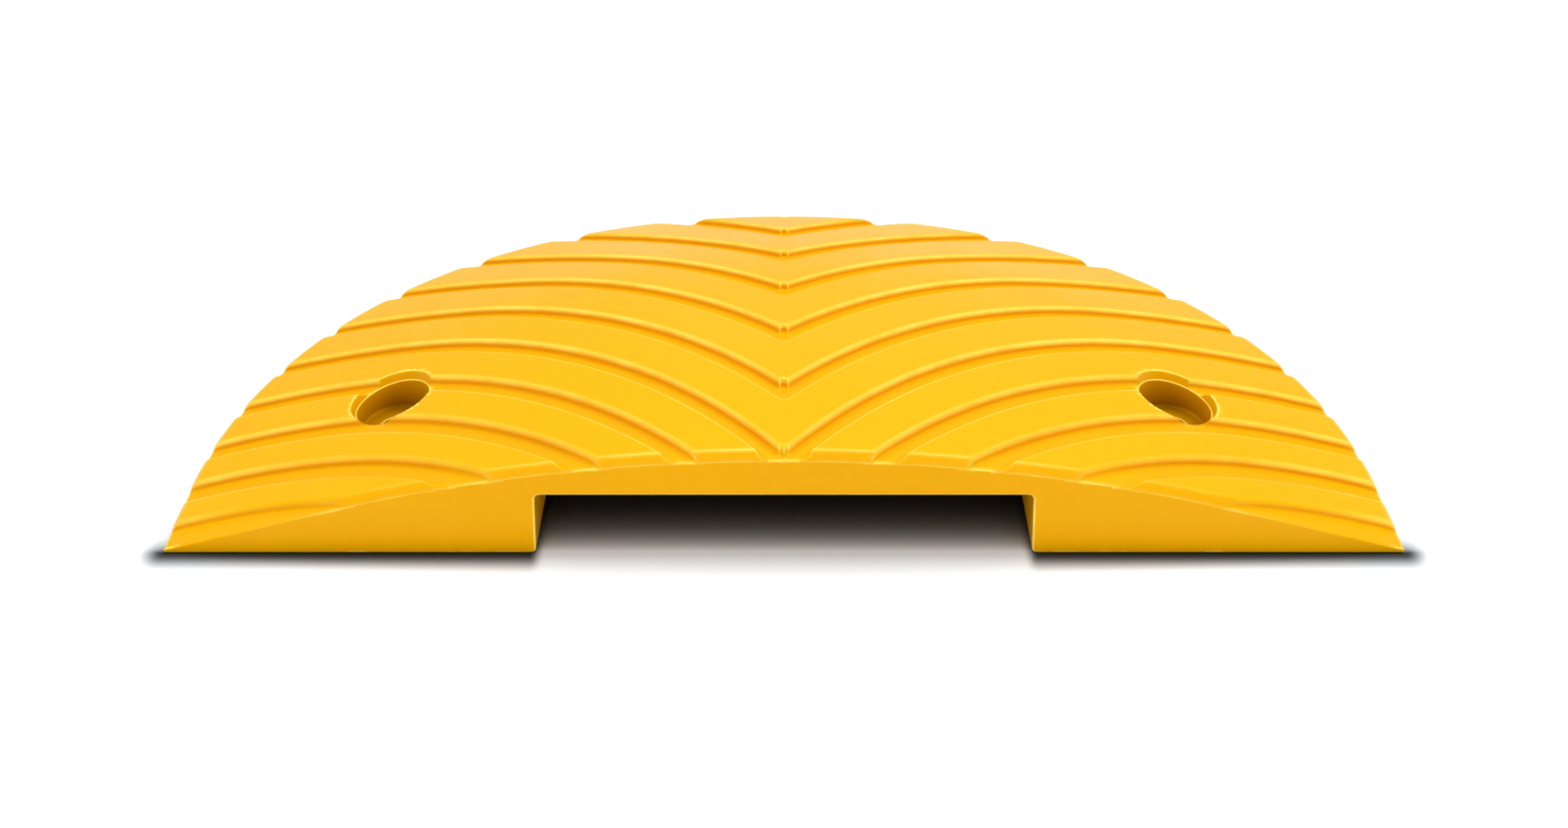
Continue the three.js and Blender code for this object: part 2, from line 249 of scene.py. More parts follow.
def station_angles(number):
    """Angles of all stations on all rows. Those near the rim are found by halving, those near the
    flat face or the middle plane directly, and the rest are spaced evenly between them."""
    row = number[:, None]
    centre_y, radius = tread_arc(row)
    at_face = np.arccos(np.clip((face_distances[None, :] - centre_y) / radius, -1, 1))
    at_middle = np.arcsin(np.clip((ARC_CENTRE_X - middle_distances[None, :]) / radius, -1, 1))
    ends = np.where(at_face[:, -1:] < at_middle[:, -1:], at_face, at_middle)
    level = 1 - rim_distances[None, :] / HALF_WIDTH
    outside = np.full((len(number), len(rim_distances)), -np.pi / 3)
    inside = np.repeat(ends[:, -1:], len(rim_distances), axis=1)
    for _ in range(HALVINGS):
        middle = (outside + inside) / 2
        x, y = arc_point(row, middle)
        beyond = (y < 0) | (plan_radius(x, y) > level)
        outside, inside = np.where(beyond, middle, outside), np.where(beyond, inside, middle)
    ends = np.maximum(ends, inside[:, -1:])
    share = np.linspace(0, 1, STATIONS_ALONG + 1)[1:-1][None, :]
    between = inside[:, -1:] + (ends[:, :1] - inside[:, -1:]) * share
    return np.concatenate([inside, between, ends], axis=1)


angles = station_angles(row_numbers)
grid_x, grid_y = arc_point(row_numbers[:, None], angles)
grid_x[0], grid_y[0] = -ARC_CENTRE_X, 0.0  # the first circle only touches the flat face
print(f"grid of {grid_x.shape[0]} x {grid_x.shape[1]} points per half")

# %% [markdown]
# ## Chevron tips
# Where the two halves of a rib meet, the mould left a blunt nose about 3.5 mm wide, a little hollow in
# the middle. Everywhere else on the middle plane the sharp chevron is slightly rounded. Both are one
# small shift of the grid towards the rim, which fades with distance from the middle plane.

# %% Round the chevrons
NOSE_HALF_WIDTH = 1.75
NOSE_HOLLOW = 0.45
CHEVRON_ROUND = 1.3
CHEVRON_REACH = 12.0  # where the rounding has faded, from the middle plane
NOSE_CENTRE = 0.3  # the nose sits on the wall, a little in front of the rib's edge
NOSE_HEIGHT_REACH = 1.4  # how far the nose spreads over the bends of the steep wall
SHIFT_FADE = 12.0  # the shift fades over this distance, so that the rim stays in place
RIM_MARGIN = 3.0
FACE_FADE = 4.0
TINY = 1e-6


def chevron_shift(x, number):
    """Shift towards the rim: slope of the circle at the middle plane times (rounded distance from
    that plane minus distance). The rounded distance is the root of x squared plus the rounding
    squared, and on the steep wall it is at least the half width of the nose."""
    centre_y, radius = tread_arc(number)
    slope = ARC_CENTRE_X / np.sqrt(np.maximum(radius**2 - ARC_CENTRE_X**2, 1.0))
    distance = np.abs(x)
    share = np.exp(-((distance / CHEVRON_REACH) ** 2))
    rounded = np.sqrt(distance**2 + CHEVRON_ROUND**2) * share + distance * (1 - share)
    from_wall = (number - np.round(number)) * pitch(np.round(number))
    on_nose = np.exp(-((np.abs(from_wall + NOSE_CENTRE) / NOSE_HEIGHT_REACH) ** 6))
    hollow = NOSE_HOLLOW * np.clip(1 - (distance / NOSE_HALF_WIDTH) ** 2, 0, 1)
    nose = np.maximum(distance, NOSE_HALF_WIDTH) + hollow / slope
    blunt = rounded + (nose - rounded) * on_nose
    return slope * (blunt - distance)


ends_in_middle = np.abs(grid_x[:, -1:]) < TINY
shift = chevron_shift(grid_x, row_numbers[:, None]) * ends_in_middle
shift *= np.clip((CAP_DEPTH - RIM_MARGIN - grid_y) / SHIFT_FADE, 0, 1)
grid_x = np.where(np.abs(grid_x) < TINY, 0.0, grid_x)
grid_y = np.where(np.abs(grid_y) < TINY, 0.0, grid_y) + shift * np.clip(grid_y / FACE_FADE, 0, 1)
print(f"largest tip shift {shift.max():.2f} mm")

# %% Height of the tread
THINNEST = 0.75
SLOPE_BEND = 0.14


def soft_step(value, width):
    """A clamp from 0 to 1 whose two bends are parabolas of the given width."""
    def bend(t):
        return np.where(t < -width, 0.0, np.where(t > width, t, (t + width) ** 2 / (4 * width)))

    return bend(value) - bend(value - 1)


def tread_height(x, y, share):
    """Dome height plus the rib: its full height times its share times the smaller of a quarter
    round at the rim and a slope at the flat face. Both outer edges then drop by a small arc."""
    inside = np.maximum(0.0, (1 - plan_radius(x, y)) * HALF_WIDTH)
    drop = np.clip(1 - (inside - RIB_END_SETBACK) / RIB_HEIGHT, 0, 1)
    rib_end = np.minimum(np.sqrt(1 - drop**2), soft_step(y / FACE_CHAMFER - 0.04, SLOPE_BEND))
    height = dome_height(x, y) + RIB_HEIGHT * share * np.clip(rib_end, 0, 1)
    rim_drop = RIM_ROUND - np.sqrt(RIM_ROUND**2 - np.clip(RIM_ROUND - inside, 0, RIM_ROUND) ** 2)
    face_drop = FACE_ROUND - np.sqrt(FACE_ROUND**2 - np.clip(FACE_ROUND - y, 0, FACE_ROUND) ** 2)
    return height - np.minimum(rim_drop + np.minimum(face_drop, height - RIM_LIP), height - THINNEST)


grid_z = tread_height(grid_x, grid_y, row_share[:, None])
print(f"tread from {grid_z.min():.2f} to {grid_z.max():.2f} mm")

# %% [markdown]
# ## One closed skin
# The left grid and its mirror image make the top. Round their outer edge runs one loop, and a short
# profile carried along that loop makes the flat face, the rim and the rounded lower edge. A fan to
# one middle point closes the underside.

# %% Assemble the skin
FOOT_ROUND = 0.7
HOLDING_RING = 0.8  # a ring this far from each bend keeps the flat face flat
SAME_POINT = 1e-4


def grid_faces(rows, columns, start=0, closed=False):
    """Quads of a grid whose points are numbered row by row. A closed grid joins its last column to
    its first."""
    last = columns if closed else columns - 1
    row, column = np.meshgrid(np.arange(rows - 1), np.arange(last), indexing="ij")
    after = (column + 1) % columns
    corners = [row * columns + column, row * columns + after]
    corners += [(row + 1) * columns + after, (row + 1) * columns + column]
    return (np.stack(corners, axis=-1).reshape(-1, 4) + start).tolist()


def new_mesh(name, points, faces):
    """A mesh object from millimetre points, with doubles merged, slivers dissolved and normals
    pointing outwards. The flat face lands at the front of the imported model."""
    mesh = bpy.data.meshes.new(name)
    place = np.array([0.0, low.y / MM, 0.0])
    mesh.from_pydata(((np.asarray(points) + place) * MM).tolist(), [], faces)
    work = bmesh.new()
    work.from_mesh(mesh)
    bmesh.ops.remove_doubles(work, verts=work.verts, dist=SAME_POINT * MM)
    bmesh.ops.dissolve_degenerate(work, edges=work.edges, dist=SAME_POINT * MM)
    bmesh.ops.recalc_face_normals(work, faces=work.faces)
    open_edges = sum(not edge.is_manifold for edge in work.edges)
    work.to_mesh(mesh)
    work.free()
    thing = bpy.data.objects.new(name, mesh)
    bpy.context.scene.collection.objects.link(thing)
    print(f"{name}: {len(mesh.polygons)} faces, {open_edges} open edges")
    return thing


rows, columns = grid_x.shape
left = np.stack([grid_x, grid_y, grid_z], axis=-1)
right = left * np.array([-1.0, 1.0, 1.0])
face_rows = np.arange(np.argmax(ends_in_middle[:, 0]) + 1)
loop = np.concatenate([left[:, 0], right[::-1, 0], right[face_rows, -1], left[face_rows[::-1], -1]])
steps = np.linalg.norm(np.roll(loop, -1, axis=0) - loop, axis=1)
loop = loop[steps > SAME_POINT]
ahead = np.roll(loop, -1, axis=0) - loop
behind = loop - np.roll(loop, 1, axis=0)


def outward(edge):
    """Unit normals in plan, to the left of each step of the loop."""
    normal = np.stack([-edge[:, 1], edge[:, 0]], axis=-1)
    return normal / np.maximum(np.linalg.norm(normal, axis=1, keepdims=True), 1e-9)


both = outward(ahead) + outward(behind)
mitre = both * 2 / np.maximum((both**2).sum(axis=1, keepdims=True), 1.0)
foot_angles = np.linspace(0, np.pi / 2, 5)
below_edge = loop.copy()
below_edge[:, 2] = np.maximum(loop[:, 2] - HOLDING_RING, (loop[:, 2] + FOOT_ROUND) / 2)
above_foot = loop.copy()
above_foot[:, 2] = np.minimum(FOOT_ROUND + HOLDING_RING, (2 * below_edge[:, 2] + FOOT_ROUND) / 3)
rings = [loop, below_edge, above_foot]
for angle in foot_angles:
    ring = loop.copy()
    ring[:, :2] -= mitre * FOOT_ROUND * (1 - np.cos(angle))
    ring[:, 2] = FOOT_ROUND * (1 - np.sin(angle))
    rings.append(ring)
skirt = np.concatenate(rings)
count = len(loop)
middle_point = np.array([[0.0, CAP_DEPTH / 2, 0.0]])
points = np.concatenate([left.reshape(-1, 3), right.reshape(-1, 3), skirt, middle_point])
base = 2 * rows * columns
last_ring = base + count * (len(rings) - 1)
around = np.arange(count)
fan = np.stack([last_ring + around, last_ring + (around + 1) % count], axis=-1)
fan = np.concatenate([fan, np.full((count, 1), len(points) - 1)], axis=1).tolist()
faces = grid_faces(rows, columns) + grid_faces(rows, columns, rows * columns)
faces += grid_faces(len(rings), count, base, closed=True) + fan
cap = new_mesh("cap_moulding", points, faces)

# %% [markdown]
# ## The channel and the bolt holes
# A core in the mould forms each hollow, so each is made as its own closed solid and cut out with a
# boolean. The solids flare where they leave the rubber: each flare is a small arc, so the edge that
# it leaves is rounded too, and no bevel has to find its way along the broken edges that a boolean
# makes. Afterwards the large polygons on the flat face are split into triangles, so that every line
# along which a mark could smear is an edge of the mesh.

# %% Solids for the cuts
def tube(name, rings):
    """Closed solid from rings of equal count: quads between the rings and a fan on each end."""
    count, around, _ = rings.shape
    ends = np.stack([rings[0].mean(axis=0), rings[-1].mean(axis=0)])
    points = np.concatenate([rings.reshape(-1, 3), ends])
    faces = grid_faces(count, around, closed=True)
    step = np.arange(around)
    for first, tip in ((0, count * around), ((count - 1) * around, count * around + 1)):
        caps = np.stack([first + step, first + (step + 1) % around, np.full(around, tip)], axis=-1)
        faces += caps.tolist()
    return new_mesh(name, points, faces)


CHANNEL_WIDTH = 200.0
CHANNEL_HEIGHT = 31.0
CHANNEL_DEPTH = 80.0
CHANNEL_LEAN = np.tan(np.radians(4.5))
CHANNEL_CORNER = 2.5
CHANNEL_MOUTH_ROUND = 0.9
LEG_CORNER_ROUND = 1.8
BEYOND = 2.0  # how far a cutting solid reaches past the surface
FLARE = np.radians(np.linspace(0, 78, 7))


def channel_cutter():
    """Half width = half foot width minus lean times height, plus a foot arc; the whole section then
    moves outwards along its own normals by an arc as it comes to the flat face."""
    arc = LEG_CORNER_ROUND * (1 - np.sin(np.linspace(np.pi / 2, 0, 7)))
    heights = np.concatenate([[-BEYOND], arc, [CHANNEL_HEIGHT / 2]])
    foot = LEG_CORNER_ROUND - np.clip(heights, 0, LEG_CORNER_ROUND)
    foot = LEG_CORNER_ROUND - np.sqrt(LEG_CORNER_ROUND**2 - foot**2) + np.maximum(-heights, 0)
    half = CHANNEL_WIDTH / 2 - heights * CHANNEL_LEAN + foot
    top = CHANNEL_WIDTH / 2 - CHANNEL_HEIGHT * CHANNEL_LEAN
    corners = [(half[-1], heights[-1]), (top, CHANNEL_HEIGHT), (0.0, CHANNEL_HEIGHT)]
    arch = round_bends(corners, [CHANNEL_CORNER], 5)
    side = np.concatenate([np.stack([half, heights], axis=-1)[:-1], arch])
    across = np.linspace(1, 0, 12)[1:, None] * [arch[-2, 0], 0.0] + [0.0, CHANNEL_HEIGHT]
    section = np.concatenate([side[:-1], across])
    section = np.concatenate([section, section[-2::-1] * [-1.0, 1.0]])
    along = np.roll(section, -1, axis=0) - np.roll(section, 1, axis=0)
    normal = np.stack([along[:, 1], -along[:, 0]], axis=-1)
    normal /= np.linalg.norm(normal, axis=1, keepdims=True)
    depths = np.concatenate([[CHANNEL_DEPTH], CHANNEL_MOUTH_ROUND * (1 - np.sin(FLARE))])
    offsets = np.concatenate([[0.0], CHANNEL_MOUTH_ROUND * (1 - np.cos(FLARE))])
    depths = np.append(depths, -0.5)
    offsets = np.append(offsets, offsets[-1] + 1.5)
    spread = section[None] + offsets[:, None, None] * normal[None]
    across, up = spread[..., 0], spread[..., 1]
    back = np.broadcast_to(depths[:, None], up.shape)
    return tube("channel_cutter", np.stack([across, back, up], axis=-1))


BOLT_INSET = 83.0
BOLT_FROM_FACE = 66.0
COUNTERBORE_RADIUS = 15.8
BOLT_HOLE_RADIUS = 8.5
BOLT_SEAT_HEIGHT = 10.4
BORE_ROUND = 0.5
RIB_CUTBACK = 2.0
SEAT_ROUND = 1.2
HOLE_ROUND = 0.5
turns = np.linspace(0, 2 * np.pi, 160, endpoint=False)


def bore_cutter(side, name):
    """A profile turned about the bolt axis: the bolt hole, the seat and the counterbore, then a mouth
    whose heights count from the dome. The mouth is a small arc at the groove floor, the slope that
    cuts the ribs back and a last turn outwards at their tops."""
    bend = np.linspace(0, np.pi / 2, 5)
    radii = np.concatenate([
        [BOLT_HOLE_RADIUS, BOLT_HOLE_RADIUS],
        BOLT_HOLE_RADIUS + HOLE_ROUND * (1 - np.cos(bend[1:])),
        COUNTERBORE_RADIUS - SEAT_ROUND * (1 - np.sin(bend)),
    ])
    heights = np.concatenate([
        [-BEYOND, BOLT_SEAT_HEIGHT - HOLE_ROUND],
        BOLT_SEAT_HEIGHT - HOLE_ROUND * (1 - np.sin(bend[1:])),
        BOLT_SEAT_HEIGHT + SEAT_ROUND * (1 - np.cos(bend)),
    ])
    centre_x = side * (HALF_WIDTH - BOLT_INSET)
    slope_foot = BORE_ROUND * (1 - np.cos(FLARE[-1])) + 0.1
    slope = [(slope_foot, 0.0), (RIB_CUTBACK, RIB_HEIGHT), (RIB_CUTBACK + 2.5, RIB_HEIGHT + 0.5)]
    slope = round_bends(slope, [0.9], 5)
    mouth = np.stack([BORE_ROUND * (1 - np.cos(FLARE)), -BORE_ROUND * (1 - np.sin(FLARE))], axis=-1)
    mouth = np.concatenate([mouth, slope])
    x = centre_x + (COUNTERBORE_RADIUS + mouth[:, :1]) * np.cos(turns)
    y = BOLT_FROM_FACE + (COUNTERBORE_RADIUS + mouth[:, :1]) * np.sin(turns)
    flare = np.stack([x, y, dome_height(x, y) + mouth[:, 1:]], axis=-1)
    lower_x = centre_x + radii[:, None] * np.cos(turns)
    lower_y = BOLT_FROM_FACE + radii[:, None] * np.sin(turns)
    lower = np.stack([lower_x, lower_y, np.broadcast_to(heights[:, None], lower_x.shape)], axis=-1)
    lid = flare[-1:] * [1, 1, 0] + [0, 0, TOP_HEIGHT + 5.0]
    return tube(name, np.concatenate([lower, flare, lid]))


WASHER_POCKET_RADIUS = 19.3
WASHER_POCKET_FLOOR = 4.3
WASHER_POCKET_TOP = 7.9


def pocket_cutter(side, name):
    """A plain upright cylinder: the space that the moulded-in washer takes, with its gap."""
    x = side * (HALF_WIDTH - BOLT_INSET) + WASHER_POCKET_RADIUS * np.cos(turns)
    y = BOLT_FROM_FACE + WASHER_POCKET_RADIUS * np.sin(turns)
    heights = (WASHER_POCKET_FLOOR, WASHER_POCKET_TOP)
    return tube(name, np.stack([np.stack([x, y, np.full_like(x, z)], axis=-1) for z in heights]))


cutters = [channel_cutter()]
for side, word in ((-1, "left"), (1, "right")):
    cutters.append(bore_cutter(side, "bore_cutter_" + word))
    cutters.append(pocket_cutter(side, "pocket_cutter_" + word))

# %% Cut the hollows
FLAT_FACE_NORMAL = -0.999  # a face whose normal points at least this much towards the front
for cutter in cutters:
    cut = cap.modifiers.new(cutter.name, "BOOLEAN")
    cut.operation, cut.solver, cut.object = "DIFFERENCE", "MANIFOLD", cutter
view_layer = bpy.context.evaluated_depsgraph_get()
finished = bpy.data.meshes.new_from_object(cap.evaluated_get(view_layer))
cap.modifiers.clear()
cap.data = finished
for cutter in cutters:
    bpy.data.objects.remove(cutter)


def in_flat_face(face):
    """True where the normal of a face points straight to the front."""
    return face.normal.y < FLAT_FACE_NORMAL


work = bmesh.new()
work.from_mesh(cap.data)
bmesh.ops.triangulate(work, faces=[face for face in work.faces if in_flat_face(face)])
work.to_mesh(cap.data)
open_edges = sum(not edge.is_manifold for edge in work.edges)
flat_edges = np.array([all(in_flat_face(face) for face in edge.link_faces) for edge in work.edges])
print(f"cut cap: {len(work.faces)} faces, {open_edges} open edges, {work.calc_volume() * 1e6:.0f} cm3")
work.free()

# %% [markdown]
# ## Smooth shading and marks on the surface
# Smooth shading blends the normals of neighbouring faces, which suits the arcs. The flat face stays
# flat shaded, and other big faces keep their own normals by weight. Three numbers are also worked
# out for every vertex: how far it lies down in a groove, how deep it lies in a bolt seat, and how
# much it stands out from its neighbours, which marks the edges. From them the rubber gets painted
# shade in the grooves and bolt seats and a painted highlight along the edges.

# %% Shade and mark
CREASE_ANGLE = np.radians(38)
EDGE_REACH = 0.0012  # metres: a bend of this radius gets the full edge mark
LONG_EDGE = 0.0015
# painted shade in the bolt seats reaches full strength this deep below the dome
BORE_SHADE_DEPTH = 12.0
BORE_MARGIN = 0.3
facing = np.empty(len(cap.data.polygons) * 3, np.float32)
cap.data.polygons.foreach_get("normal", facing)
cap.data.polygons.foreach_set("use_smooth", facing[1::3] > FLAT_FACE_NORMAL)
cap.data.set_sharp_from_angle(angle=CREASE_ANGLE)
weigh = cap.modifiers.new("weigh_normals", "WEIGHTED_NORMAL")
weigh.keep_sharp = True


def vertex_array(mesh, name):
    """The named vector of every vertex, one row each."""
    values = np.empty(len(mesh.vertices) * 3, np.float32)
    mesh.vertices.foreach_get(name, values)
    return values.reshape(-1, 3)


def mark_edges(mesh, reach):
    """How fast the normals spread apart along the edges at a vertex, times the reach. A mark that
    would smear along a long edge is dropped, where the other end is unmarked or the edge crosses the
    flat face."""
    ends = np.empty(len(mesh.edges) * 2, np.int32)
    mesh.edges.foreach_get("vertices", ends)
    start, stop = ends.reshape(-1, 2).T
    place, normal = vertex_array(mesh, "co"), vertex_array(mesh, "normal")
    step, turn = place[stop] - place[start], normal[stop] - normal[start]
    length = np.maximum(np.linalg.norm(step, axis=1), 1e-6)
    slope = (step * turn).sum(axis=1) / length**2
    near = 1.0 / length
    total, weight = np.zeros(len(place)), np.zeros(len(place))
    for end in (start, stop):
        np.add.at(total, end, slope * near)
        np.add.at(weight, end, near)
    marks = np.clip(total / np.maximum(weight, 1e-9) * reach, 0, 1)
    held = marks.copy()
    stretch = length > LONG_EDGE
    for end, other in ((start, stop), (stop, start)):
        np.minimum.at(held, end[stretch], marks[other[stretch]])
    inside_flat = stretch & flat_edges
    held[start[inside_flat]] = 0.0
    held[stop[inside_flat]] = 0.0
    return held


place = vertex_array(cap.data, "co") / MM - [0.0, low.y / MM, 0.0]
above_dome = place[:, 2] - dome_height(place[:, 0], place[:, 1])
# painted shade: 1 on the groove floors and 0 on the rib tops
groove = np.where(above_dome > -BORE_MARGIN, np.clip(1 - above_dome / RIB_HEIGHT, 0, 1), 0.0)
from_bolt = np.hypot(np.abs(place[:, 0]) - (HALF_WIDTH - BOLT_INSET), place[:, 1] - BOLT_FROM_FACE)
in_bore = from_bolt < COUNTERBORE_RADIUS + BORE_MARGIN
# painted shade: 0 at the dome and 1 at full depth in a bolt seat
bore_shade = np.where(in_bore, np.clip(-above_dome / BORE_SHADE_DEPTH, 0, 1), 0.0)
marks = {"groove": groove, "edge": mark_edges(cap.data, EDGE_REACH), "bore_shade": bore_shade}
for name, values in marks.items():
    mark = cap.data.attributes.new(name, "FLOAT", "POINT")
    mark.data.foreach_set("value", values.astype(np.float32))
    print(f"{name}: mean {values.mean():.3f}, highest {values.max():.2f}")

# %% [markdown]
# ## Effects that the finishes share
# Moulded rubber, zinc-plated steel and the floor all vary a little from place to place. Two small
# node groups hold those effects and a third holds a painted highlight, and each finish uses them
# with its own sizes: slow mottling, fine grain for the bump, and a mask for the painted highlight
# along the edges.

# %% Node helpers
def feed(tree, socket, source):
    """Links a source that is a socket, or sets a plain value."""
    if isinstance(source, bpy.types.NodeSocket):
        tree.links.new(source, socket)
    else:
        socket.default_value = source


def node(tree, kind, links=(), **settings):
    """Adds a node. Settings are its options, and links are pairs of an input and what feeds it."""
    made = tree.nodes.new(kind)
    for name, value in settings.items():
        setattr(made, name, value)
    for name, source in links:
        feed(tree, made.inputs[name], source)
    return made


def new_group(name, inputs, output):
    """An empty node group with named sockets, the sockets of its inputs and that of its output."""
    tree = bpy.data.node_groups.new(name, "ShaderNodeTree")
    for label, kind, value in inputs:
        socket = tree.interface.new_socket(label, in_out="INPUT", socket_type="NodeSocket" + kind)
        if value is not None:
            socket.default_value = value
    tree.interface.new_socket(output, in_out="OUTPUT", socket_type="NodeSocketFloat")
    given = tree.nodes.new("NodeGroupInput").outputs
    return tree, given, tree.nodes.new("NodeGroupOutput").inputs[output]


def math(tree, operation, *values, clamp=False):
    """A Math node whose inputs are the values in order."""
    made = node(tree, "ShaderNodeMath", list(enumerate(values)), operation=operation)
    made.use_clamp = clamp
    return made.outputs[0]


def noise(tree, vector, scale, detail, roughness):
    """Value of a Noise texture, which wanders about 0.5."""
    links = [("Vector", vector), ("Scale", scale), ("Detail", detail), ("Roughness", roughness)]
    return node(tree, "ShaderNodeTexNoise", links).outputs["Fac"]


print("node helpers are ready")

# %% Mottling: a wide drift and a small cloud, added together and stretched about the middle
WIDE_SHARE = 0.65
MOTTLE_CONTRAST = 2.6
inputs = [("Vector", "Vector", None), ("Scale", "Float", 12.0)]
mottling, given, result = new_group("mottling", inputs, "Mask")
wide = noise(mottling, given["Vector"], given["Scale"], 4.0, 0.55)
small_scale = math(mottling, "MULTIPLY", given["Scale"], 7.3)
small = noise(mottling, given["Vector"], small_scale, 3.0, 0.6)
drift = math(mottling, "MULTIPLY", wide, WIDE_SHARE)
blend = math(mottling, "MULTIPLY_ADD", small, 1 - WIDE_SHARE, drift)
off_middle = math(mottling, "SUBTRACT", blend, 0.5)
stretched = math(mottling, "MULTIPLY_ADD", off_middle, MOTTLE_CONTRAST, 0.5)
feed(mottling, result, math(mottling, "MAXIMUM", stretched, 0.0, clamp=True))
print("mottling:", len(mottling.nodes), "nodes")

# %% Grain: fine noise for the surface of the mould and a slow waviness from cooling
GRAIN_HEIGHT = 0.3
inputs = [("Vector", "Vector", None), ("Scale", "Float", 1500.0), ("Waviness", "Float", 0.5)]
grain, given, result = new_group("grain", inputs, "Height")
fine = noise(grain, given["Vector"], given["Scale"], 2.0, 0.6)
slow_scale = math(grain, "MULTIPLY", given["Scale"], 0.06)
slow = noise(grain, given["Vector"], slow_scale, 2.0, 0.5)
waves = math(grain, "MULTIPLY", slow, given["Waviness"])
feed(grain, result, math(grain, "MULTIPLY_ADD", fine, GRAIN_HEIGHT, waves))
print("grain:", len(grain.nodes), "nodes")

# %% Painted edge highlight: the edge mark broken up by noise, so that the highlight comes and goes
inputs = [("Vector", "Vector", None), ("Edge", "Float", 0.0), ("Scale", "Float", 60.0)]
edge_highlight_group, given, result = new_group("painted_edge_highlight", inputs, "Mask")
broken = noise(edge_highlight_group, given["Vector"], given["Scale"], 4.0, 0.65)
amount = math(edge_highlight_group, "MULTIPLY_ADD", broken, 1.6, 0.05)
feed(edge_highlight_group, result, math(edge_highlight_group, "MULTIPLY", given["Edge"], math(edge_highlight_group, "MINIMUM", amount, 1.0)))
print("groups:", [tree.name for tree in bpy.data.node_groups])

# %% [markdown]
# ## Yellow rubber
# The rubber is dyed right through, so it has no paint edge: its colour is deep golden yellow, a touch
# more orange where the mottling is dark. Painted shade makes it more orange down in the grooves and
# brown in the bolt seats, and a painted highlight makes it lighter along the edges. It is semi-gloss,
# and its reflections look yellow because the top skin is dyed as well, so the specular tint is yellow.

# %% Rubber finish
# the darker tone of the mottling, and also the painted shade in the grooves
DEEP_YELLOW = (0.64, 0.30, 0.0, 1.0)
GOLDEN_YELLOW = (0.76, 0.35, 0.0, 1.0)
# painted shade: the brown of the bolt seats
BORE_SHADE_BROWN = (0.36, 0.16, 0.0, 1.0)
# painted highlight: the lighter colour that the rounded edges get
EDGE_HIGHLIGHT_YELLOW = (0.94, 0.68, 0.12, 1.0)
REFLECTED_YELLOW = (1.0, 0.72, 0.05, 1.0)
MOTTLE_DEPTH = 0.35
GROOVE_SHADE = 0.35
RUBBER_ROUGHNESS = 0.30
ROUGHNESS_DRIFT = 0.12


def group_node(tree, group, **links):
    """Places a shared group in a material, with its inputs by name."""
    return node(tree, "ShaderNodeGroup", links.items(), node_tree=group).outputs[0]


def mix_colour(tree, factor, first, second):
    """A Mix node for colours. Its sockets 0, 6 and 7 are the factor and the two colours."""
    made = node(tree, "ShaderNodeMix", data_type="RGBA")
    for place, source in ((0, factor), (6, first), (7, second)):
        feed(tree, made.inputs[place], source)
    return made.outputs[2]


def new_material(name):
    """A new material, its tree, its Principled shader and its Object coordinates."""
    made = bpy.data.materials.new(name)
    made.use_nodes = True
    tree = made.node_tree
    where = node(tree, "ShaderNodeTexCoord").outputs["Object"]
    return made, tree, tree.nodes["Principled BSDF"].inputs, where


def mark_value(tree, name):
    """A number that the mesh carries for every vertex."""
    return node(tree, "ShaderNodeAttribute", attribute_name=name).outputs["Fac"]


def bumpy(tree, where, scale, waviness, strength, distance):
    """Normals of the shared grain at a scale, as a Bump node gives them."""
    height = group_node(tree, grain, Vector=where, Scale=scale, Waviness=waviness)
    links = [("Height", height), ("Strength", strength), ("Distance", distance)]
    return node(tree, "ShaderNodeBump", links).outputs["Normal"]


rubber, tree, shader, where = new_material("yellow_rubber")
mottle = group_node(tree, mottling, Vector=where, Scale=14.0)
# painted highlight: a mask along the marked edges, broken up by noise
edge_highlight_mask = group_node(tree, edge_highlight_group, Vector=where, Edge=mark_value(tree, "edge"), Scale=70.0)
# painted shade: the grooves turn more orange with their depth
down = math(tree, "MULTIPLY", mark_value(tree, "groove"), GROOVE_SHADE)
deep = math(tree, "MULTIPLY_ADD", mottle, MOTTLE_DEPTH, down)
body = mix_colour(tree, deep, GOLDEN_YELLOW, DEEP_YELLOW)
# painted shade: the bolt seats turn brown with their depth
body = mix_colour(tree, mark_value(tree, "bore_shade"), body, BORE_SHADE_BROWN)
feed(tree, shader["Base Color"], mix_colour(tree, edge_highlight_mask, body, EDGE_HIGHLIGHT_YELLOW))
rough = math(tree, "MULTIPLY_ADD", mottle, ROUGHNESS_DRIFT, RUBBER_ROUGHNESS)
feed(tree, shader["Roughness"], rough)
feed(tree, shader["Normal"], bumpy(tree, where, 1400.0, 0.8, 0.35, 0.0002))
shader["IOR"].default_value = 1.36
shader["Specular IOR Level"].default_value = 0.35
shader["Specular Tint"].default_value = REFLECTED_YELLOW
cap.data.materials.clear()
cap.data.materials.append(rubber)
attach(cap, "root")
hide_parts("cap_body")
print("rubber nodes:", len(tree.nodes))

# %% [markdown]
# ## Zinc-plated washers
# The moulded-in washers hardly show: only their bores can be seen down the bolt holes. Their shape in
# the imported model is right, so they stay and only get a dull metal finish.

# %% Washer finish
ZINC_LIGHT = (0.50, 0.50, 0.50, 1.0)
ZINC_DARK = (0.30, 0.30, 0.30, 1.0)
steel, tree, shader, where = new_material("zinc_steel")
mottle = group_node(tree, mottling, Vector=where, Scale=90.0)
feed(tree, shader["Base Color"], mix_colour(tree, mottle, ZINC_LIGHT, ZINC_DARK))
feed(tree, shader["Roughness"], math(tree, "MULTIPLY_ADD", mottle, 0.25, 0.35))
feed(tree, shader["Normal"], bumpy(tree, where, 3000.0, 0.3, 0.3, 0.0001))
shader["Metallic"].default_value = 1.0
for name in ("load_washer_left", "load_washer_right"):
    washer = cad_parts[name]
    for slot in washer.material_slots:
        slot.material = steel
    print(name, "finished,", len(washer.material_slots), "slot")

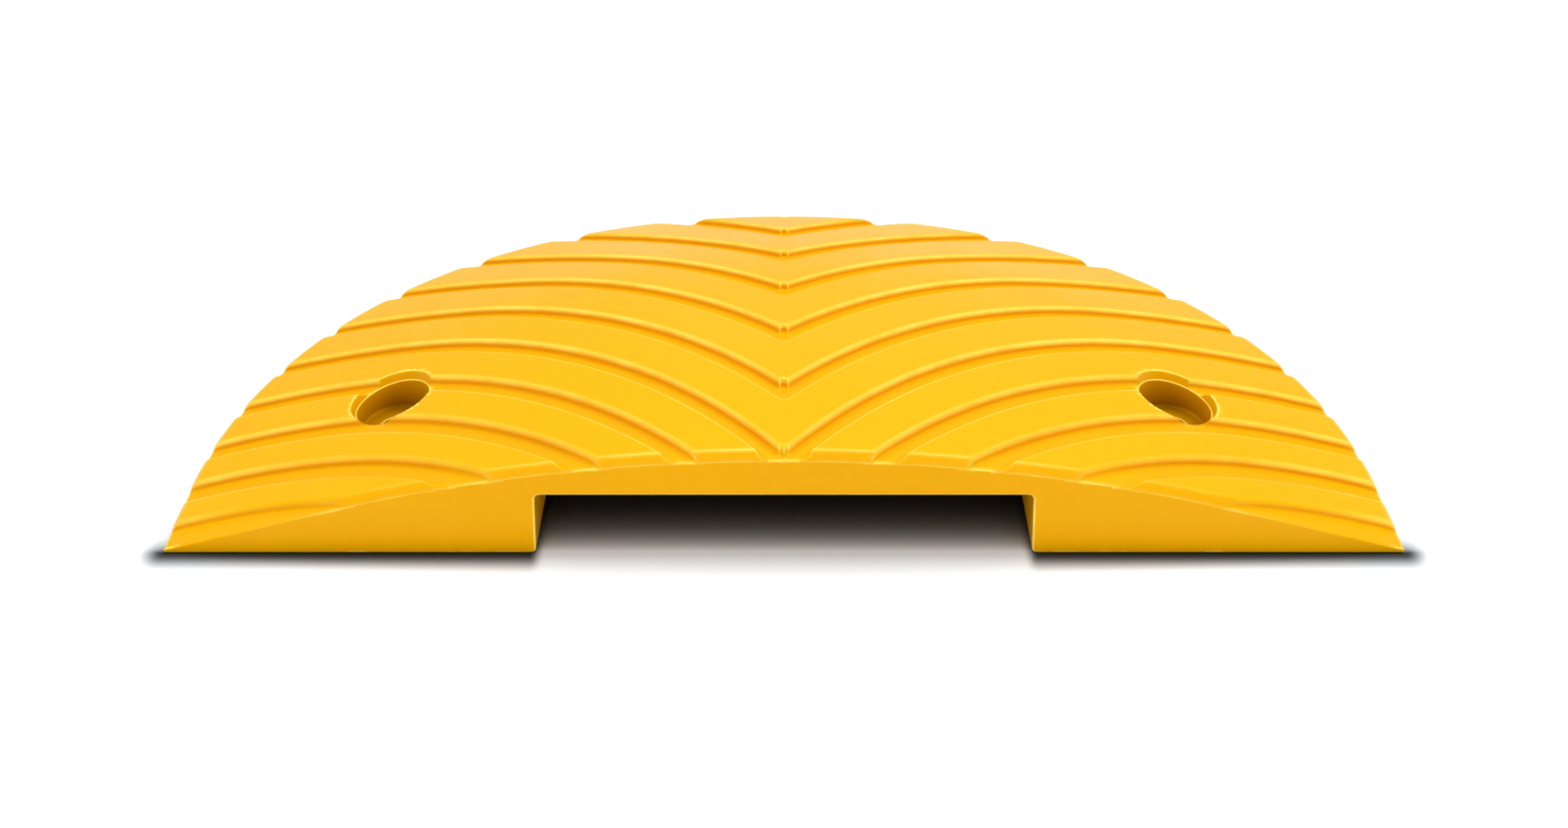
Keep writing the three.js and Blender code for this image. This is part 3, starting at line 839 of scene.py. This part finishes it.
# %% [markdown]
# ## Floor and light
# A wide white floor, and a sky that is bright overhead and dark at the horizon, as under a big
# softbox. It keeps the tops bright and helps keep the channel dark. Two low lights in front fill the
# flat face, and two small lights overhead draw bright lines along the rounded edges, which the
# painted highlight in the rubber makes stronger. Right beside a body that rests on it, a floor gets
# hardly any light, so that shadow is painted into the floor's colour, beside the cap and deep in the
# channel.

# %% Contact shade
CONTACT_REACH = 13.5
CONTACT_FULL = 1.1  # over 1, so that the shade is full for the first millimetre
CONTACT_MOST = 0.97
RIM_SHADE_REACH = 7.0
CHANNEL_SHADE_REACH = 7.0
MOUTH_BLEND = 4.0  # width over which the shade changes at the sides of the channel


# painted shadow: the floor's colour darkens by this number beside the cap and in the channel
def contact_shade(x, y):
    """0 on open floor and 1 in full contact shade. In front it fades as a smooth step of the distance,
    and beside the rim the same step dies away with the distance behind the flat face. In the
    channel it rises as 1 minus an exponential of the depth."""
    beside = np.hypot(np.maximum(np.abs(x) - HALF_WIDTH, 0), np.maximum(-y, 0))
    distance = np.where(y < 0, beside, (plan_radius(x, y) - 1) * HALF_WIDTH)
    near = np.clip(CONTACT_FULL * (1 - distance / CONTACT_REACH), 0, 1)
    outside = CONTACT_MOST * near**2 * (3 - 2 * near) * np.exp(-np.maximum(y, 0) / RIM_SHADE_REACH)
    in_mouth = np.clip((CHANNEL_WIDTH / 2 + 1 - np.abs(x)) / MOUTH_BLEND, 0, 1)
    inside = (1 - np.exp(-np.maximum(y - 1, 0) / CHANNEL_SHADE_REACH)) * in_mouth + (1 - in_mouth)
    return np.where(y < 0, outside * (1 - in_mouth), np.where(distance < 0, inside, outside))


print("shade 1 mm and 5 mm in front:", contact_shade(np.array([200.0, 200.0]), np.array([-1.0, -5.0])))

# %% Floor: fine lines under and near the cap, and a few far ones
FAR_LINES = [300.0, 400.0, 1000.0, 6000.0]
FLOOR_LIGHT = (0.81, 0.84, 0.87, 1.0)  # a little blue, against the yellow light that the cap throws
FLOOR_DARK = (0.79, 0.82, 0.85, 1.0)
PAINTED_SHADOW_DARK = (0.008, 0.008, 0.008, 1.0)
lines_x = np.concatenate([np.arange(0, 270, 1.5), FAR_LINES])
lines_x = np.concatenate([-lines_x[:0:-1], lines_x])
near_front = np.concatenate([[-FAR_LINES[3], -FAR_LINES[2], -200, -50, -20], np.arange(-12, 50, 1.0)])
lines_y = np.concatenate([near_front, np.arange(50, 270, 2.0), FAR_LINES])
floor_x, floor_y = np.meshgrid(lines_x, lines_y)
floor_points = np.stack([floor_x, floor_y, np.zeros_like(floor_x)], axis=-1).reshape(-1, 3)
floor = new_mesh("floor", floor_points, grid_faces(len(lines_y), len(lines_x)))
place = vertex_array(floor.data, "co") / MM - [0.0, low.y / MM, 0.0]
mark = floor.data.attributes.new("contact", "FLOAT", "POINT")
mark.data.foreach_set("value", contact_shade(place[:, 0], place[:, 1]).astype(np.float32))
white, tree, shader, where = new_material("white_floor")
mottle = group_node(tree, mottling, Vector=where, Scale=2.0)
open_floor = mix_colour(tree, mottle, FLOOR_LIGHT, FLOOR_DARK)
# painted shadow: the open floor colour mixed towards near black by the contact number
shaded = mix_colour(tree, mark_value(tree, "contact"), open_floor, PAINTED_SHADOW_DARK)
feed(tree, shader["Base Color"], shaded)
shader["Roughness"].default_value = 0.9
shader["Specular IOR Level"].default_value = 0.0
floor.data.materials.append(white)

# %% Sky
SKY_LOW = 0.05
SKY_RISE = 1.28
SKY_SEEN = 0.95  # the sky looks at least this bright, so that the backdrop is white
world = bpy.data.worlds.new("soft_sky")
bpy.context.scene.world = world
world.use_nodes = True
tree = world.node_tree
way = node(tree, "ShaderNodeTexCoord").outputs["Generated"]
up = node(tree, "ShaderNodeSeparateXYZ", [("Vector", way)]).outputs["Z"]
light = math(tree, "MULTIPLY_ADD", math(tree, "MAXIMUM", up, 0.0), SKY_RISE, SKY_LOW)
seen = node(tree, "ShaderNodeLightPath").outputs["Is Camera Ray"]
shown = math(tree, "MAXIMUM", light, math(tree, "MULTIPLY", seen, SKY_SEEN))
background = tree.nodes["Background"].inputs
feed(tree, background["Strength"], shown)
background["Color"].default_value = (1.0, 1.0, 1.0, 1.0)
print(f"sky from {SKY_LOW} at the horizon to {SKY_LOW + SKY_RISE:.2f} overhead")

# %% Lights
LOOKED_AT = np.array([0.0, 0.0, 0.02])


def area_light(name, place, size, power):
    """A square soft light that faces the middle of the cap. Its turn is read off the direction from
    the light to that point."""
    data = bpy.data.lights.new(name, "AREA")
    data.energy, data.size = power, size
    thing = bpy.data.objects.new(name, data)
    thing.location = place
    aim = LOOKED_AT - np.array(place)
    tilt = np.arctan2(np.hypot(aim[0], aim[1]), -aim[2])
    thing.rotation_euler = (tilt, 0.0, np.arctan2(-aim[0], aim[1]))
    bpy.context.scene.collection.objects.link(thing)
    print(f"{name}: {power} W from {place}")


area_light("key_left", (-0.7, 0.1, 1.1), 0.4, 6.0)
area_light("key_right", (0.7, 0.1, 1.1), 0.4, 9.0)
area_light("back", (0.2, 1.7, 0.8), 1.2, 1.5)
area_light("low_left", (-0.9, -1.9, 0.45), 0.9, 8.0)
area_light("low_right", (0.9, -1.9, 0.45), 0.9, 6.5)
bpy.context.scene.view_settings.view_transform = "Standard"
